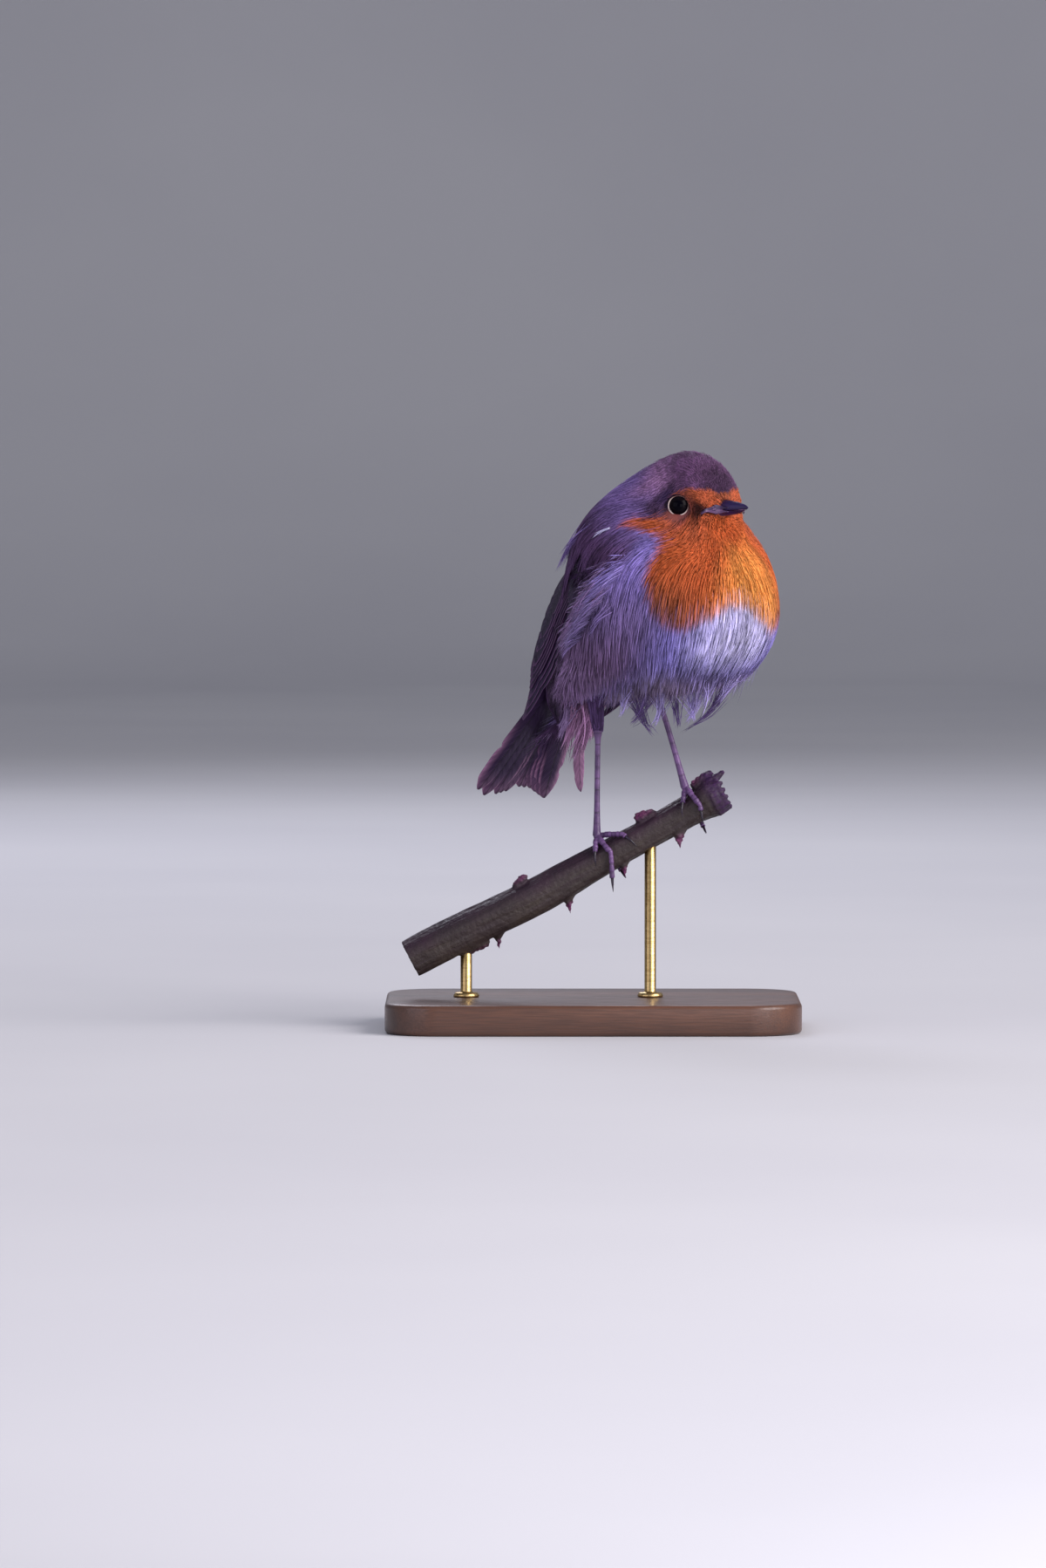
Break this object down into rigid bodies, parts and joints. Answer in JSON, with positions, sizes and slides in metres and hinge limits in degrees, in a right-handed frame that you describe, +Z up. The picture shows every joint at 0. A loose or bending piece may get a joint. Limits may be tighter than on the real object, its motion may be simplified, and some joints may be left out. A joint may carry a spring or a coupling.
{
  "type": "european robin",
  "caption": "Fluffed-up european robin standing on a cut bramble stem, head turned to its left, tail spread and drooped, held over a flat base by short rods.",
  "frame": {"origin": "middle of the display base's underside", "axes": "+Z up; +X along the base and the stem, towards the stem's raised torn end; the bird faces between +X and -Y, 50 degrees from +X"},
  "size_m": [0.108, 0.0917, 0.1505],
  "materials": {
    "plumage": "soft matt feathers: orange-red face and breast, olive-brown back, blue-grey sides, white belly",
    "quills": "dark brown flight feathers with a faint sheen and paler edges",
    "bill_horn": "blackish horn, half gloss",
    "eye": "wet black, high gloss",
    "leg_scales": "brown scaled skin, half matt",
    "claw_horn": "dark horn",
    "bark": "weathered bramble bark, matt",
    "base_wood": "dark wood, satin",
    "rod_brass": "brushed, satin"
  },
  "bodies": {
    "root": {"bill_lower": "bill_horn", "bill_upper": "bill_horn", "claw_left_1": "claw_horn", "claw_left_2": "claw_horn", "claw_left_3": "claw_horn", "claw_left_4": "claw_horn", "claw_right_1": "claw_horn", "claw_right_2": "claw_horn", "claw_right_3": "claw_horn", "claw_right_4": "claw_horn", "eye_left": "eye", "eye_right": "eye", "head": "plumage", "neck": "plumage", "perch": "bark", "stand_base": "base_wood", "stand_rod_high": "rod_brass", "stand_rod_low": "rod_brass", "tail": "quills", "tarsus_left": "leg_scales", "tarsus_right": "leg_scales", "thigh_left": "plumage", "thigh_right": "plumage", "toe_left_1": "leg_scales", "toe_left_2": "leg_scales", "toe_left_3": "leg_scales", "toe_left_4": "leg_scales", "toe_right_1": "leg_scales", "toe_right_2": "leg_scales", "toe_right_3": "leg_scales", "toe_right_4": "leg_scales", "trunk": "plumage", "wing_left": "quills", "wing_right": "quills"}
  },
  "joints": []
}
